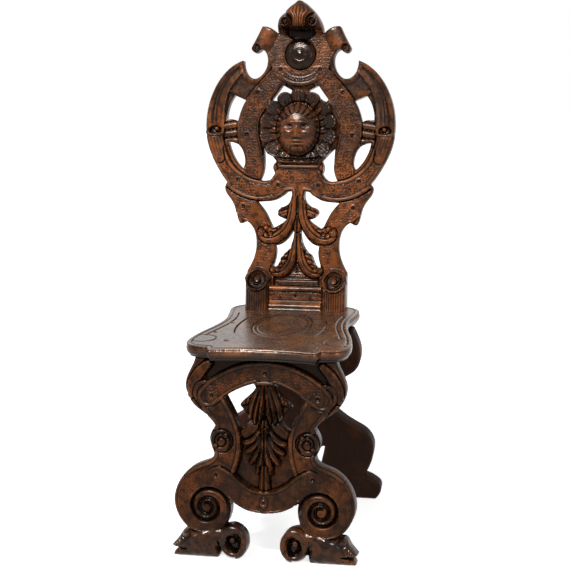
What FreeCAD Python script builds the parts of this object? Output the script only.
import FreeCAD, Part
import math
import os

# Carved walnut hall chair of the sgabello kind: a seat board on two splayed trestle boards, a raked
# back board keyed through the seat, and carved blocks dowelled to the boards.
# Millimetres. X to the sitter's left, Y to the rear, Z up, origin on the floor under the middle.

SIZES = (
    ("seat_height", 455, "floor to the top of the seat"),
    ("seat_thickness", 26, "seat board"),
    ("seat_width", 352, "seat board across its front lobes"),
    ("seat_depth", 440, "seat board, front to rear"),
    ("seat_front", -258.4, "Y of the seat's foremost edge"),
    ("front_inset", 35.7, "seat's front edge to the front trestle, under the seat"),
    ("front_lean", 6.0, "degrees that the front trestle's foot stands forward"),
    ("front_width", 388, "front trestle across its volutes"),
    ("front_thickness", 34, "front trestle board"),
    ("rear_margin", 142.6, "rear trestle, under the seat, to the seat's rear edge"),
    ("rear_lean", 12.4, "degrees that the rear trestle's foot stands back"),
    ("rear_width", 404, "rear trestle across its feet"),
    ("rear_thickness", 30, "rear trestle board"),
    ("back_margin", 42.2, "back's front face, on the seat, to the seat's rear edge"),
    ("back_rake", 9.2, "degrees that the back leans to the rear"),
    ("back_width", 442, "back board across its ring"),
    ("back_height", 652, "seat to the top of the back's ears, along the board"),
    ("back_thickness", 28, "back board"),
    ("tenon_width", 50, "each tenon"),
    ("trestle_tenon_offset", 80, "chair's middle to a trestle's tenon"),
    ("trestle_tenon_depth", 14, "stub tenon into the seat"),
    ("back_tenon_offset", 76, "chair's middle to a tenon of the back"),
    ("back_tenon_reach", 34, "tenon of the back below the seat"),
    ("key_width", 14, "wedge through a tenon"),
    ("key_length", 58, "wedge, front to rear"),
    ("key_height", 20, "wedge at its thick end"),
    ("key_taper", 5, "fall of the wedge from end to end"),
    ("cleat_length", 250, "cleat under the seat"),
    ("cleat_height", 22, "cleat below the seat"),
    ("cleat_depth", 24, "cleat, front to rear"),
    ("cleat_overlap", 6, "cleat let in behind its trestle's slanting face before it is scribed"),
    ("nail_pitch", 112, "spacing of the nails along a cleat"),
    ("nail_radius", 2, "shank of a nail"),
    ("nail_head_radius", 4.5, "head of a nail"),
    ("nail_head_height", 2, "head of a nail"),
    ("nail_bite", 13, "nail into the seat"),
    ("panel_depth", 14, "sunk panel beside the front trestle's leaf"),
    ("volute_pitch", 19.5, "growth of a volute's spiral in each turn"),
    ("volute_channel_width", 6, "channel between the turns of a volute"),
    ("volute_channel_depth", 8, "channel between the turns of a volute"),
    ("curl_radius", 24, "round curl on an upright of the front trestle"),
    ("curl_rise", 7, "curl forward of the front trestle"),
    ("ring_rise", 3, "ring and shield forward of the back's ground"),
    ("leaf_rise", 5, "leaves forward of the back's ground"),
    ("foot_ground_depth", 8, "sunk ground above the plinth"),
    ("link_depth", 4, "links between the ring and its inner straps, below the ground"),
    ("foot_projection", 5, "foot forward of the front trestle"),
    ("foot_dowel_radius", 6, "dowel between foot and trestle"),
    ("foot_dowel_length", 40, "dowel between foot and trestle"),
    ("carving_dowel_radius", 4, "dowel behind a carving"),
    ("carving_dowel_bite", 11, "carving's dowel into the board"),
    ("carving_dowel_stub", 9, "carving's dowel into the carving"),
    ("crest_width", 104, "crest across its foot"),
    ("crest_height", 70, "crest above the top of the back"),
    ("crest_projection", 50, "crest's lip forward of the back board"),
    ("medallion_radius", 36, "domed boss below the crest"),
    ("medallion_rise", 12, "boss forward of the board"),
    ("ruff_radius", 91, "leaf ruff round the mask"),
    ("ruff_lobe", 7, "depth of the notches between the ruff's leaves"),
    ("ruff_thickness", 16, "leaf ruff"),
    ("ruff_drop", 80, "mask's middle to the flat foot of its ruff"),
    ("mask_half_width", 50, "head of the mask"),
    ("mask_half_height", 62, "head of the mask"),
    ("mask_rise", 46, "head of the mask forward of the board"),
    ("scroll_radius", 29.5, "roll of a base scroll"),
    ("scroll_projection", 32, "roll forward of the board"),
    ("scroll_stem_width", 54, "fluted stem below the roll"),
    ("scroll_stem_projection", 26, "fluted stem forward of the board"),
    ("plinth_height", 52, "plinth between the base scrolls"),
    ("plinth_projection", 15, "plinth forward of the board"),
    ("clearance", 0.2, "play in each mortise and dowel hole, all round"),
)

# An outline is a list of runs that join end to end. Two points make a straight run, more make a
# curve through them. The half outlines go down the +X side from the middle line to the middle line.
# Each is stretched to its board's own sizes. A trestle's second run ends at the seat's underside.
SEAT_HALF = (
    ((0, 440), (96, 440)),
    ((96, 440), (122, 435), (141, 419), (151, 396), (150, 368), (146, 336), (142, 305), (142, 268),
     (147, 230), (156, 190), (165, 156), (172, 121), (176, 82), (173, 54), (160, 32), (141, 24),
     (121, 21)),
    ((121, 21), (114, 0)),
    ((114, 0), (80, 6), (40, 11), (0, 13)),
)
FRONT_HALF = (
    ((0, 460), (150, 460)),
    ((150, 460), (150, 429)),
    ((150, 429), (156, 411), (165, 393), (171, 373), (169, 355), (161, 337), (148, 322), (130, 309),
     (115, 296), (106, 284)),
    ((106, 284), (114, 271), (118, 256), (115, 241), (108, 226)),
    ((108, 226), (113, 214), (124, 207), (145, 199), (165, 186), (181, 166), (191, 143), (194, 122),
     (189, 98), (178, 78), (160, 61), (140, 53), (125, 51), (105, 55), (86, 68), (75, 88), (72, 107),
     (75, 128)),
    ((75, 128), (60, 116), (40, 107), (20, 102), (0, 101)),
)
FRONT_OPENING = (
    ((21, 377), (42, 370), (64, 360), (86, 346)),
    ((86, 346), (75, 326), (65, 307), (57, 289), (53, 275)),
    ((53, 275), (42, 285), (31, 297)),
    ((31, 297), (42, 311), (56, 327)),
    ((56, 327), (47, 339), (34, 351), (24, 362), (21, 377)),
)
LEAF_PANEL = (
    ((53, 262), (42, 262), (33, 258)),
    ((33, 258), (44, 248), (52, 232)),
    ((52, 232), (40, 232), (27, 238)),
    ((27, 238), (30, 224), (33, 207)),
    ((33, 207), (26, 208), (19, 214)),
    ((19, 214), (28, 199), (38, 186)),
    ((38, 186), (28, 185), (19, 190)),
    ((19, 190), (22, 181), (22, 172)),
    ((22, 172), (14, 172)),
    ((14, 172), (12, 150)),
    ((12, 150), (31, 154), (50, 167), (67, 186)),
    ((67, 186), (58, 204), (53, 229), (51, 247), (53, 262)),
)
VOLUTE_CENTRE = (122, 110)
VOLUTE_TURNS = (0.75, 2.25)
VOLUTE_STEPS = 12
CURL_CENTRE = (92, 254)
REAR_HALF = (
    ((0, 460), (148, 460)),
    ((148, 460), (148, 429)),
    ((148, 429), (158, 404), (164, 378), (162, 354), (152, 333), (132, 317), (107, 303), (90, 289),
     (83, 272), (85, 252), (95, 234), (115, 213), (146, 191), (168, 177), (182, 160), (188, 141),
     (187, 122), (181, 97), (172, 76), (164, 60)),
    ((164, 60), (176, 56), (189, 48), (201, 35), (202, 23), (197, 10), (189, 0), (178, -12)),
    ((178, -12), (66, -12)),
    ((66, -12), (56, 8), (50, 34), (54, 62), (61, 87), (67, 110), (72, 134)),
    ((72, 134), (58, 129), (30, 118), (0, 113)),
)
FOOT = (
    ((68, 73), (166, 58)),
    ((166, 58), (177, 54), (182, 45), (190, 34), (200, 23)),
    ((200, 23), (195, 17), (186, 13)),
    ((186, 13), (195, 8), (197, 2), (192, -10)),
    ((192, -10), (100, -10)),
    ((100, -10), (96, 6), (91, 15)),
    ((91, 15), (82, 4), (67, -3), (50, 3), (38, 19), (36, 37), (40, 54), (52, 67), (68, 73)),
)
BACK_HALF = (
    ((0, 637), (56, 637)),
    ((56, 637), (73, 649), (91, 652)),
    ((91, 652), (102, 629), (114, 607)),
    ((114, 607), (115, 599), (107, 592), (98, 595), (93, 600)),
    ((93, 600), (84, 595), (77, 577), (80, 557), (90, 541), (106, 532), (122, 538), (131, 551), (135, 574)),
    ((135, 574), (162, 560), (185, 537), (205, 503), (217, 466), (221, 430), (219, 394), (210, 362),
     (196, 333), (180, 307), (168, 291)),
    ((168, 291), (174, 281), (171, 268), (158, 250), (149, 232), (145, 214), (140, 200)),
    ((140, 200), (135, 196), (129, 198), (122, 202)),
    ((122, 202), (110, 193), (101, 178), (97, 160), (97, 139), (101, 119), (109, 100), (117, 86)),
    ((117, 86), (118, 0)),
)
ARM_OPENING = (
    ((155, 494), (127, 482)),
    ((127, 482), (136, 464), (142, 446), (145, 434)),
    ((145, 434), (159, 438), (174, 438)),
    ((174, 438), (172, 455), (166, 476), (155, 494)),
)
RING_OPENING = (
    ((168, 386), (155, 384), (140, 376), (131, 361), (127, 345), (128, 331), (133, 324)),
    ((133, 324), (150, 343), (161, 364), (168, 386)),
)
BROW_OPENING = (
    ((42, 518), (20, 506)),
    ((20, 506), (22, 499)),
    ((22, 499), (42, 491), (58, 478)),
    ((58, 478), (67, 484)),
    ((67, 484), (55, 500), (42, 518)),
)
PEDESTAL_OPENING = (
    ((84, 373), (68, 358), (54, 342)),
    ((54, 342), (59, 327), (55, 314)),
    ((55, 314), (70, 298), (91, 298)),
    ((91, 298), (83, 322), (82, 348), (84, 373)),
)
UPPER_LEAF_OPENING = (
    ((15, 273), (17, 251), (31, 237)),
    ((31, 237), (47, 220), (38, 211), (25, 208)),
    ((25, 208), (44, 193), (58, 186)),
    ((58, 186), (66, 201), (76, 221), (87, 236), (97, 247)),
    ((97, 247), (80, 248), (58, 251), (41, 259), (27, 271)),
    ((27, 271), (15, 273)),
)
LOWER_LEAF_OPENING = (
    ((8, 186), (22, 164), (38, 150), (52, 146)),
    ((52, 146), (50, 129), (54, 107), (57, 97)),
    ((57, 97), (46, 99), (38, 115), (26, 130)),
    ((26, 130), (14, 147), (8, 167), (8, 186)),
)
BACK_OPENINGS = (
    ARM_OPENING,
    RING_OPENING,
    BROW_OPENING,
    PEDESTAL_OPENING,
    UPPER_LEAF_OPENING,
    LOWER_LEAF_OPENING,
)
# Fields of the back that stand forward, drawn wide in the openings and past the board's edge.
RING_FIELD = (
    ((0, 268), (30, 268)),
    ((30, 268), (58, 249), (92, 245), (121, 255), (150, 273), (178, 297)),
    ((178, 297), (235, 330)),
    ((235, 330), (235, 401)),
    ((235, 401), (172, 401)),
    ((172, 401), (166, 386), (157, 365), (145, 345), (130, 327), (112, 309), (90, 301)),
    ((90, 301), (72, 302), (63, 314), (64, 334)),
    ((64, 334), (0, 334)),
)
SHIELD_FIELD = (
    ((0, 514), (28, 520), (52, 536), (68, 560), (84, 574)),
    ((84, 574), (100, 586)),
    ((100, 586), (130, 586)),
    ((130, 586), (130, 665)),
    ((130, 665), (0, 665)),
)
LEAF_FIELD = (
    ((0, 266), (20, 266)),
    ((20, 266), (24, 250), (60, 230)),
    ((60, 230), (60, 194)),
    ((60, 194), (76, 192), (90, 187), (95, 176), (90, 162), (78, 151), (62, 147), (49, 140)),
    ((49, 140), (49, 108)),
    ((49, 108), (56, 100), (63, 97), (66, 91), (59, 78), (46, 71), (30, 74), (14, 88), (5, 103), (0, 111)),
)
RAISED_FIELDS = (RING_FIELD, SHIELD_FIELD, LEAF_FIELD)
LEAF_TOP = (0, 267)
FOOT_GROUND = (
    ((0, 54), (56, 54)),
    ((56, 54), (57, 71)),
    ((57, 71), (46, 67), (29, 70), (12, 84), (0, 100)),
)
LINK_GROUND = (
    ((147, 376), (147, 448)),
    ((147, 448), (172, 448)),
    ((172, 448), (160, 376)),
    ((160, 376), (147, 376)),
)
CREST_HALF = (
    ((0, 70), (11, 67), (23, 57), (33, 46), (42, 33), (49, 17), (52, 0)),
    ((52, 0), (0, 0)),
)
CREST_PROFILE = (
    ((-28, 0), (-28, 24)),
    ((-28, 24), (-20, 46), (-2, 64), (20, 70), (40, 60), (50, 40), (49, 20), (44, 8)),
    ((44, 8), (36, 7), (26, 14), (14, 12), (6, 5), (2, 0)),
    ((2, 0), (-28, 0)),
)
CREST_FOOT = (0, 637)
MASK_CENTRE = (0, 416)
MEDALLION_CENTRE = (0, 587)
SCROLL_CENTRE = (90, 66)
FOOT_DOWEL = (125, 51)
MASK_DOWELS = ((-35, 416), (35, 416))
PLINTH_DOWELS = ((-35, 26), (35, 26))
CREST_DOWELS = ((-28, 637), (28, 637))
RUFF_LEAVES = 16

# Room that a cutting block takes beyond the boards it trims.
SPARE = 40

doc = FreeCAD.newDocument("sgabello")


def make_sheet():
    """The driving sizes, one aliased cell each."""
    sheet = doc.addObject("Spreadsheet::Sheet", "sizes")
    for row, (alias, value, words) in enumerate(SIZES, 1):
        sheet.set(f"A{row}", words)
        sheet.set(f"B{row}", str(value))
        sheet.setAlias(f"B{row}", alias)
    doc.recompute()
    return sheet


sizes = make_sheet()


def size(alias):
    return float(sizes.get(alias))


def bind(thing, **rules):
    """Ties properties of an object to the sheet, each by its rule."""
    for name, rule in rules.items():
        thing.setExpression(name, rule)
    return thing


def place(x, y, z, lean=0.0):
    """A place in the chair's frame, leaning to the rear by so many degrees."""
    return FreeCAD.Placement(
        FreeCAD.Vector(x, y, z), FreeCAD.Rotation(FreeCAD.Vector(1, 0, 0), -lean)
    )


def moved(frame, x, y, z, turn=None):
    """A place given in another place's own directions."""
    return frame.multiply(FreeCAD.Placement(FreeCAD.Vector(x, y, z), turn or FreeCAD.Rotation()))


ALONG_Y = FreeCAD.Rotation(FreeCAD.Vector(1, 0, 0), -90)
HALF_TURN = FreeCAD.Rotation(FreeCAD.Vector(0, 0, 1), 180)

# Levels and the frames of the four boards, each at the middle of the board's front face
seat_top = size("seat_height")
underside = seat_top - size("seat_thickness")
seat_front = size("seat_front")
SEAT_FRAME = place(0, seat_front, underside)
FRONT_FRAME = place(0, seat_front + size("front_inset"), underside, size("front_lean"))
seat_rear = seat_front + size("seat_depth")
REAR_FRAME = place(0, seat_rear - size("rear_margin"), underside, -size("rear_lean"))
BACK_FRAME = place(0, seat_rear - size("back_margin"), seat_top, size("back_rake"))


def reach(runs, axis):
    """The furthest that an outline's points go along one direction."""
    return max(point[axis] for run in runs for point in run)


def stretch(points, across, up, base=0.0):
    """Outline points at the board's own size, measured up from a base line."""
    return [(x * across, (y - base) * up) for x, y in points]


def closed_from_half(half):
    """The whole outline from the runs of its +X half."""
    other = [[(-x, y) for x, y in reversed(run)] for run in reversed(half)]
    return list(half) + other


def mirrored(loop):
    return [[(-x, y) for x, y in run] for run in loop]


def draw(sketch, loop):
    """Adds one closed outline to a sketch."""
    for run in loop:
        points = [FreeCAD.Vector(x, y, 0) for x, y in run]
        if len(points) == 2:
            sketch.addGeometry(Part.LineSegment(points[0], points[1]), False)
        else:
            curve = Part.BSplineCurve()
            curve.interpolate(points)
            sketch.addGeometry(curve, False)


def padded(name, plane, loops, thickness, frame, reverse):
    """A body padded from outlines on one of its own planes."""
    body = doc.addObject("PartDesign::Body", name)
    sketch = body.newObject("Sketcher::SketchObject", name + "_outline")
    origin_plane = next(f for f in body.Origin.OriginFeatures if f.Role == plane)
    sketch.AttachmentSupport = [(origin_plane, "")]
    sketch.MapMode = "FlatFace"
    for loop in loops:
        draw(sketch, loop)
    pad = body.newObject("PartDesign::Pad", name + "_pad")
    pad.Profile = sketch
    pad.Reversed = reverse
    bind(pad, Length=thickness)
    body.Placement = frame
    doc.recompute()
    return body


def board(name, loops, thickness, frame):
    """A flat board behind its drawn front face."""
    return padded(name, "XZ_Plane", loops, thickness, frame, True)


def relief(name, loops, thickness, frame):
    """A flat block in front of a board's face."""
    return padded(name, "XZ_Plane", loops, thickness, frame, False)


def sunk(name, loops, depth, frame):
    """A cutter that sinks the ground within outlines below a board's front face."""
    return board(name, loops, f"{depth} + {SPARE}", moved(frame, 0, -SPARE, 0))


def box(name, frame, length, width, height):
    block = doc.addObject("Part::Box", name)
    block.Placement = frame
    return bind(block, Length=length, Width=width, Height=height)


def rod(name, frame, radius, height):
    cylinder = doc.addObject("Part::Cylinder", name)
    cylinder.Placement = frame
    return bind(cylinder, Radius=radius, Height=height)


def together(name, pieces):
    union = doc.addObject("Part::MultiFuse", name)
    union.Shapes = pieces
    return union


def cut(name, base, *tools):
    """A piece less its tools."""
    tool = tools[0] if len(tools) == 1 else together(name + "_tools", list(tools))
    result = doc.addObject("Part::Cut", name)
    result.Base = base
    result.Tool = tool
    return result


def level_block(name, low, high):
    """A wide block between two levels, to trim boards flat."""
    reach = 2 * (size("seat_depth") + size("seat_width"))
    block = doc.addObject("Part::Box", name)
    block.Length = reach
    block.Width = reach
    block.Height = high - low
    block.Placement = place(-reach / 2, -reach / 2, low)
    return block


def shoulders(name, offset, low, high):
    """Blocks that leave a pair of tenons standing between two levels."""
    reach = size("seat_depth") + size("seat_width")
    half = size("tenon_width") / 2
    spans = ((-reach, -offset - half), (half - offset, offset - half), (offset + half, reach))
    blocks = []
    for number, (left, right) in enumerate(spans):
        block = doc.addObject("Part::Box", f"{name}_{number}")
        block.Length = right - left
        block.Width = 2 * reach
        block.Height = high - low
        block.Placement = place(left, -reach, low)
        blocks.append(block)
    return blocks


def mortises(name, frame, offset, thickness, low, depth):
    """A pair of mortises, a clearance larger than the tenons that they take."""
    play = size("clearance")
    half = size("tenon_width") / 2
    return [
        box(
            f"{name}_{number}",
            moved(frame, side * offset - half - play, -play, low),
            "sizes.tenon_width + 2 * sizes.clearance",
            f"sizes.{thickness} + 2 * sizes.clearance",
            depth,
        )
        for number, side in enumerate((-1, 1))
    ]


def trestle_drawn(runs, half, width, lean):
    """A trestle's runs, from heights above the floor to lengths along the leaning board."""
    drawn_underside = half[1][-1][1]
    across = size(width) / (2 * reach(half, 0))
    up = underside / drawn_underside / math.cos(math.radians(size(lean)))
    return [stretch(run, across, up, drawn_underside) for run in runs]


def front_drawn(runs):
    return trestle_drawn(runs, FRONT_HALF, "front_width", "front_lean")


def rear_drawn(runs):
    return trestle_drawn(runs, REAR_HALF, "rear_width", "rear_lean")


def back_drawn(runs):
    across = size("back_width") / (2 * reach(BACK_HALF, 0))
    up = size("back_height") / reach(BACK_HALF, 1)
    return [stretch(run, across, up) for run in runs]


def back_point(point):
    return back_drawn([[point]])[0][0]


def front_point(point):
    return front_drawn([[point]])[0][0]


# Dowels behind the carvings, and their holes
def carving_dowels():
    """Dowels and holes across the back's front face, and up through its top under the crest."""
    stub = size("carving_dowel_stub")
    bite = size("carving_dowel_bite")
    across = [*MASK_DOWELS, *PLINTH_DOWELS, MEDALLION_CENTRE, SCROLL_CENTRE]
    across.append((-SCROLL_CENTRE[0], SCROLL_CENTRE[1]))
    starts = []
    for point in across:
        x, up = back_point(point)
        starts.append(moved(BACK_FRAME, x, -stub, up, ALONG_Y))
    for point in CREST_DOWELS:
        x, up = back_point(point)
        starts.append(moved(BACK_FRAME, x, size("back_thickness") / 2, up - bite))
    length = "sizes.carving_dowel_stub + sizes.carving_dowel_bite"
    play = size("clearance")
    dowels = []
    holes = []
    for number, start in enumerate(starts):
        dowels.append(rod(f"carving_dowel_{number}", start, "sizes.carving_dowel_radius", length))
        holes.append(
            rod(
                f"carving_hole_{number}",
                moved(start, 0, 0, -play),
                "sizes.carving_dowel_radius + sizes.clearance",
                length + " + 2 * sizes.clearance",
            )
        )
    return together("carving_dowels", dowels), together("carving_holes", holes)


# Dowels between the front feet and the trestle, and their holes
def foot_dowels():
    length = "sizes.foot_dowel_length"
    play = size("clearance")
    x, up = front_point(FOOT_DOWEL)
    dowels = []
    holes = []
    for side, word in ((-1, "left"), (1, "right")):
        start = moved(
            FRONT_FRAME, side * x, size("front_thickness") / 2, up - size("foot_dowel_length") / 2
        )
        dowels.append(rod(f"{word}_foot_dowel", start, "sizes.foot_dowel_radius", length))
        holes.append(
            rod(
                f"{word}_foot_hole",
                moved(start, 0, 0, -play),
                "sizes.foot_dowel_radius + sizes.clearance",
                length + " + 2 * sizes.clearance",
            )
        )
    return together("foot_dowels", dowels), together("foot_holes", holes)


def volute_channel():
    """The outline of a volute's spiral channel, from near its eye to its outer turn."""
    x, up = VOLUTE_CENTRE
    half = size("volute_channel_width") / 2
    first, last = VOLUTE_TURNS
    outer = []
    inner = []
    for step in range(round((last - first) * VOLUTE_STEPS) + 1):
        turns = first + step / VOLUTE_STEPS
        radius = size("volute_pitch") * turns
        angle = 2 * math.pi * turns + math.pi / 2
        for side, along in ((outer, radius + half), (inner, radius - half)):
            side.append((x + along * math.cos(angle), up + along * math.sin(angle)))
    return [outer, [outer[-1], inner[-1]], inner[::-1], [inner[0], outer[0]]]


def front_carving(front):
    """The front board with its curls, and the cutters of its sunk panel and its volutes."""
    radius = "sizes.curl_radius"
    x, up = front_point(CURL_CENTRE)
    curls = [
        dome(f"{word}_curl", FRONT_FRAME, (side * x, up), radius, radius, "sizes.curl_rise")
        for word, side in (("left", -1), ("right", 1))
    ]
    panel = front_drawn(LEAF_PANEL)
    channel = front_drawn(volute_channel())
    cutters = [
        sunk("leaf_panels", [panel, mirrored(panel)], "sizes.panel_depth", FRONT_FRAME),
        sunk("volute_channels", [channel, mirrored(channel)], "sizes.volute_channel_depth", FRONT_FRAME),
    ]
    return together("front_blank", [front, *curls]), cutters


# Trestle boards, shouldered under the seat with a pair of stub tenons each
def trestles(foot_holes):
    stub_top = underside + size("trestle_tenon_depth")
    offset = size("trestle_tenon_offset")
    over_tenons = level_block("over_tenons", stub_top, stub_top + seat_top)
    under_floor = level_block("under_floor", -seat_top, 0)
    shoulder_blocks = shoulders("trestle_shoulder", offset, underside, stub_top)
    opening = front_drawn(FRONT_OPENING)
    front_loops = [front_drawn(closed_from_half(FRONT_HALF)), opening, mirrored(opening)]
    front = board("front_board", front_loops, "sizes.front_thickness", FRONT_FRAME)
    rear_loops = [rear_drawn(closed_from_half(REAR_HALF))]
    rear = board("rear_board", rear_loops, "sizes.rear_thickness", REAR_FRAME)
    carved_front, cutters = front_carving(front)
    front_trestle = cut("front_trestle", carved_front, over_tenons, *shoulder_blocks, foot_holes, *cutters)
    rear_trestle = cut("rear_trestle", rear, over_tenons, *shoulder_blocks, under_floor)
    return front, rear, front_trestle, rear_trestle, under_floor


# Front feet, saddled to the volutes and flat on the floor
def feet(front, foot_holes, under_floor):
    made = []
    for word, loop in (("left", mirrored(FOOT)), ("right", FOOT)):
        frame = moved(FRONT_FRAME, 0, -size("foot_projection"), 0)
        block = board(
            f"{word}_foot_block",
            [front_drawn(loop)],
            "sizes.front_thickness + sizes.foot_projection",
            frame,
        )
        made.append(cut(f"{word}_front_foot", block, front, foot_holes, under_floor))
    return made


# Wedges under the seat, through the back's tenons
def keys():
    """Each wedge, and the slot for it, which rises into the seat so that the wedge bears on it."""
    offset = size("back_tenon_offset")
    length = size("key_length")
    thick = size("key_height")
    thin = thick - size("key_taper")
    play = size("clearance")
    rise = size("seat_thickness") / 2
    middle = size("back_thickness") / 2
    depth = -size("seat_thickness") - size("key_height") / 2
    centre_y = moved(BACK_FRAME, 0, middle, depth).Base.y
    made = []
    slots = []
    for word, side in (("left", -1), ("right", 1)):
        for kind, top, grow in (("back_key", 0, 0), ("key_slot", rise, play)):
            profile = [(0, top), (length, top), (length, -thin), (0, -thick)]
            runs = [[profile[i], profile[(i + 1) % 4]] for i in range(4)]
            width = "sizes.key_width + 2 * " + ("sizes.clearance" if grow else "0")
            left = side * offset - size("key_width") / 2 - grow
            frame = place(left, centre_y - length / 2, underside)
            wedge = padded(f"{word}_{kind}", "YZ_Plane", [runs], width, frame, False)
            (slots if grow else made).append(wedge)
    return made, slots


# Cleats that hold the trestles to the seat, scribed to the leaning boards, and their nails
def cleats(front, rear):
    half = size("cleat_length") / 2
    low = underside - size("cleat_height")
    overlap = size("cleat_overlap")
    depth = size("cleat_depth")
    front_face = moved(FRONT_FRAME, 0, size("front_thickness"), 0).Base.y
    starts = (
        ("front_cleat", front_face - overlap, front),
        ("rear_cleat", REAR_FRAME.Base.y + overlap - depth, rear),
    )
    nails = []
    holes = []
    blanks = []
    shank = "sizes.cleat_height + sizes.nail_bite"
    for name, y, trestle in starts:
        blank = box(
            name + "_blank",
            place(-half, y, low),
            "sizes.cleat_length",
            "sizes.cleat_depth",
            "sizes.cleat_height",
        )
        blanks.append((name, blank, trestle))
        for number in (-1, 0, 1):
            foot = place(number * size("nail_pitch"), y + depth / 2, low)
            head = moved(foot, 0, 0, -size("nail_head_height"))
            label = f"{name}_nail_{number + 1}"
            nail = (
                rod(label + "_shank", foot, "sizes.nail_radius", shank),
                rod(label + "_head", head, "sizes.nail_head_radius", "sizes.nail_head_height"),
            )
            nails.append(together(label, list(nail)))
            holes.append(rod(label + "_hole", foot, "sizes.nail_radius + sizes.clearance",
                             shank + " + sizes.clearance"))
    nail_holes = together("nail_holes", holes)
    made = [cut(name, blank, trestle, nail_holes) for name, blank, trestle in blanks]
    return made, together("cleat_nails", nails), nail_holes


# Seat board with its mortises
def seat(nail_holes):
    across = size("seat_width") / (2 * reach(SEAT_HALF, 0))
    deep = size("seat_depth") / reach(SEAT_HALF, 1)
    runs = [stretch(run, across, deep) for run in closed_from_half(SEAT_HALF)]
    blank = padded("seat_blank", "XY_Plane", [runs], "sizes.seat_thickness", SEAT_FRAME, False)
    offset = size("trestle_tenon_offset")
    drop = -size("trestle_tenon_depth")
    stub = "3 * sizes.trestle_tenon_depth"
    stubs = mortises("front_mortise", FRONT_FRAME, offset, "front_thickness", drop, stub)
    stubs += mortises("rear_mortise", REAR_FRAME, offset, "rear_thickness", drop, stub)
    ceiling = underside + size("trestle_tenon_depth") + size("clearance")
    over_mortises = level_block("over_mortises", ceiling, ceiling + seat_top)
    stub_mortises = cut("stub_mortises", together("stub_boxes", stubs), over_mortises)
    tools = mortises(
        "back_mortise",
        BACK_FRAME,
        size("back_tenon_offset"),
        "back_thickness",
        -2 * size("seat_thickness"),
        "3 * sizes.seat_thickness",
    )
    return cut("seat_board", blank, stub_mortises, *tools, nail_holes)


def back_carving(forward):
    """Cutters that leave the ring, the shield and the leaves forward of the back's ground."""
    front = moved(BACK_FRAME, 0, -forward - SPARE, 0)
    side = size("back_width")
    top = 2 * size("back_height")
    corners = [(-side, -top), (side, -top), (side, top), (-side, top)]
    surround = [[corners[i], corners[(i + 1) % 4]] for i in range(4)]
    fields = [back_drawn(closed_from_half(field)) for field in RAISED_FIELDS]
    ground = board("back_ground", [surround, *fields], f"sizes.leaf_rise + {SPARE}", front)
    over_ring = box(
        "over_ring",
        moved(front, -side, 0, back_point(LEAF_TOP)[1]),
        "2 * sizes.back_width",
        f"sizes.leaf_rise - sizes.ring_rise + {SPARE}",
        "sizes.back_height",
    )
    x, up = back_point(MEDALLION_CENTRE)
    medallion_seat = rod(
        "medallion_seat",
        moved(front, x, 0, up, ALONG_Y),
        "sizes.medallion_radius + sizes.clearance",
        f"sizes.leaf_rise + {SPARE}",
    )
    foot = back_drawn(closed_from_half(FOOT_GROUND))
    link = back_drawn(LINK_GROUND)
    return [
        ground,
        over_ring,
        medallion_seat,
        sunk("foot_ground", [foot], "sizes.foot_ground_depth", BACK_FRAME),
        sunk("link_ground", [link, mirrored(link)], "sizes.link_depth", BACK_FRAME),
    ]


# Back board with its openings and through tenons
def back(slots, carving_holes):
    bottom = underside - size("back_tenon_reach")
    drop = size("seat_thickness") + size("back_tenon_reach") + SPARE
    half = back_drawn(BACK_HALF)
    foot_x = half[-1][-1][0]
    tail = [[(foot_x, 0), (foot_x, -drop)], [(foot_x, -drop), (0, -drop)]]
    loops = [closed_from_half(half + tail)]
    for opening in BACK_OPENINGS:
        loop = back_drawn(opening)
        loops += [loop, mirrored(loop)]
    forward = size("leaf_rise")
    face = moved(BACK_FRAME, 0, -forward, 0)
    blank = board("back_blank", loops, "sizes.back_thickness + sizes.leaf_rise", face)
    below = level_block("below_tenons", bottom - seat_top, bottom)
    blocks = shoulders("back_shoulder", size("back_tenon_offset"), bottom, seat_top)
    carved = blank
    for number, cutter in enumerate(back_carving(forward)):
        carved = cut(f"back_carved_{number}", carved, cutter)
    return cut("back_board", carved, below, *blocks, *slots, carving_holes)


# Carved crest, a shell on the top of the back that curls forward to a lip
def crest(carving_holes):
    """The block common to the shell's front outline and its side profile."""
    across = size("crest_width") / (2 * reach(CREST_HALF, 0))
    up = size("crest_height") / reach(CREST_HALF, 1)
    forward = size("crest_projection") / reach(CREST_PROFILE, 0)
    behind = size("back_thickness") / -CREST_PROFILE[0][0][0]
    foot = moved(BACK_FRAME, 0, 0, back_point(CREST_FOOT)[1])
    outline = [stretch(run, across, up) for run in closed_from_half(CREST_HALF)]
    front = board("crest_front", [outline], "sizes.crest_projection + sizes.back_thickness",
                  moved(foot, 0, -size("crest_projection"), 0))
    side_runs = [
        [(-n * (forward if n > 0 else behind), height * up) for n, height in run] for run in CREST_PROFILE
    ]
    side = padded("crest_side", "YZ_Plane", [side_runs], "sizes.crest_width",
                  moved(foot, -size("crest_width") / 2, 0, 0), False)
    block = doc.addObject("Part::Common", "crest_block")
    block.Base = front
    block.Tool = side
    return cut("crest_shell", block, carving_holes)


def dome(name, frame, middle, half_width, half_height, rise):
    """Half an ellipsoid that stands forward of a board."""
    x, up = middle
    shape = doc.addObject("Part::Ellipsoid", name)
    shape.Angle3 = 180
    shape.Placement = moved(frame, x, 0, up, HALF_TURN)
    return bind(shape, Radius1=half_height, Radius2=half_width, Radius3=rise)


# Domed boss below the crest
def medallion(carving_holes):
    boss = dome(
        "medallion_boss",
        BACK_FRAME,
        back_point(MEDALLION_CENTRE),
        "sizes.medallion_radius",
        "sizes.medallion_radius",
        "sizes.medallion_rise",
    )
    return cut("crest_medallion", boss, carving_holes)


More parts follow.
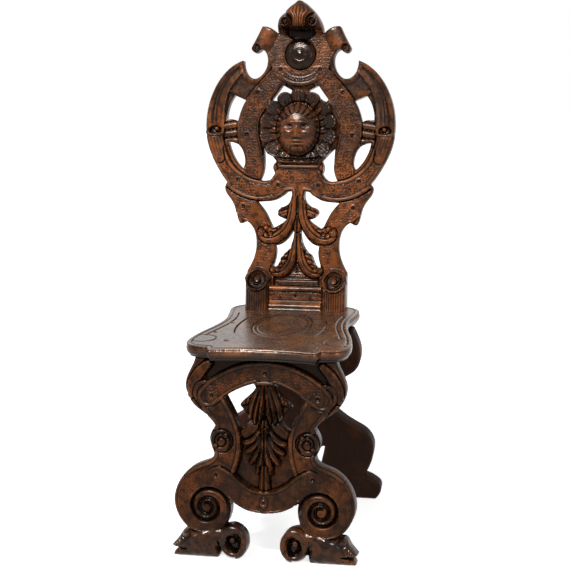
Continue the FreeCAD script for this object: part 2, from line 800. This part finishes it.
# Mask with its ruff of leaves
def mask(carving_holes):
    x, up = back_point(MASK_CENTRE)
    outer = size("ruff_radius")
    inner = outer - size("ruff_lobe")

    def rim(radius, turn):
        angle = 2 * math.pi * turn / RUFF_LEAVES
        return x + radius * math.cos(angle), up + radius * math.sin(angle)

    leaves = [[rim(inner, n - 0.5), rim(outer, n), rim(inner, n + 0.5)] for n in range(RUFF_LEAVES)]
    leaves[-1][-1] = leaves[0][0]
    ruff = relief("mask_ruff", [leaves], "sizes.ruff_thickness", BACK_FRAME)
    head = dome(
        "mask_head",
        BACK_FRAME,
        (x, up),
        "sizes.mask_half_width",
        "sizes.mask_half_height",
        "sizes.mask_rise",
    )
    below = box(
        "below_ruff",
        moved(BACK_FRAME, x - 2 * outer, -2 * outer, up - size("ruff_drop") - 2 * outer),
        "4 * sizes.ruff_radius",
        "4 * sizes.ruff_radius",
        "2 * sizes.ruff_radius",
    )
    return cut("mask", together("mask_block", [ruff, head]), below, carving_holes)


# Scrolls and plinth at the foot of the back, trimmed to the seat
def base_blocks(carving_holes):
    to_seat = level_block("under_seat_top", -seat_top, seat_top)
    roll_x, roll_up = back_point(SCROLL_CENTRE)
    made = []
    for word, side in (("left", -1), ("right", 1)):
        roll = rod(
            f"{word}_roll",
            moved(BACK_FRAME, side * roll_x, -size("scroll_projection"), roll_up, ALONG_Y),
            "sizes.scroll_radius",
            "sizes.scroll_projection",
        )
        stem = doc.addObject("Part::Box", f"{word}_stem")
        stem.Height = roll_up + SPARE
        bind(stem, Length="sizes.scroll_stem_width", Width="sizes.scroll_stem_projection")
        left = side * roll_x - size("scroll_stem_width") / 2
        stem.Placement = moved(BACK_FRAME, left, -size("scroll_stem_projection"), -SPARE)
        block = together(f"{word}_scroll_block", [roll, stem])
        made.append(cut(f"{word}_base_scroll", block, to_seat, carving_holes))
    inner = roll_x - size("scroll_radius")
    panel = doc.addObject("Part::Box", "plinth_panel")
    panel.Length = 2 * inner
    panel.Height = size("plinth_height") + SPARE
    bind(panel, Width="sizes.plinth_projection")
    panel.Placement = moved(BACK_FRAME, -inner, -size("plinth_projection"), -SPARE)
    made.append(cut("back_plinth", panel, to_seat, carving_holes))
    return made


def build():
    """Every sub-part of the chair, by node name."""
    dowels, carving_holes = carving_dowels()
    pegs, foot_holes = foot_dowels()
    front, rear, front_trestle, rear_trestle, under_floor = trestles(foot_holes)
    wedges, slots = keys()
    battens, nails, nail_holes = cleats(front, rear)
    nodes = [seat(nail_holes), front_trestle, rear_trestle, back(slots, carving_holes)]
    nodes += feet(front, foot_holes, under_floor)
    nodes += wedges
    nodes += battens
    nodes += [nails, pegs, dowels]
    nodes += [crest(carving_holes), medallion(carving_holes), mask(carving_holes)]
    nodes += base_blocks(carving_holes)
    doc.recompute()
    return nodes


def check(nodes):
    """Stops before anything is written if an object failed or a shape is unsound."""
    for thing in doc.Objects:
        if "Invalid" in thing.State or "Error" in thing.State:
            raise RuntimeError(f"{thing.Name} failed: {thing.State}")
    for node in nodes:
        if node.Shape.isNull() or not node.Shape.isValid():
            raise RuntimeError(f"{node.Name} has no sound shape")


def export(nodes):
    os.makedirs("parts", exist_ok=True)
    for node in nodes:
        node.Label = node.Name
        node.Shape.exportStep(os.path.join("parts", node.Label + ".step"))
        box_of = node.Shape.optimalBoundingBox()
        print(
            f"{node.Label}: {len(node.Shape.Solids)} solids, {node.Shape.Volume / 1000:.1f} cm3, "
            f"x {box_of.XMin:.1f} {box_of.XMax:.1f}, y {box_of.YMin:.1f} {box_of.YMax:.1f}, "
            f"z {box_of.ZMin:.1f} {box_of.ZMax:.1f}"
        )


pieces = build()
check(pieces)
export(pieces)
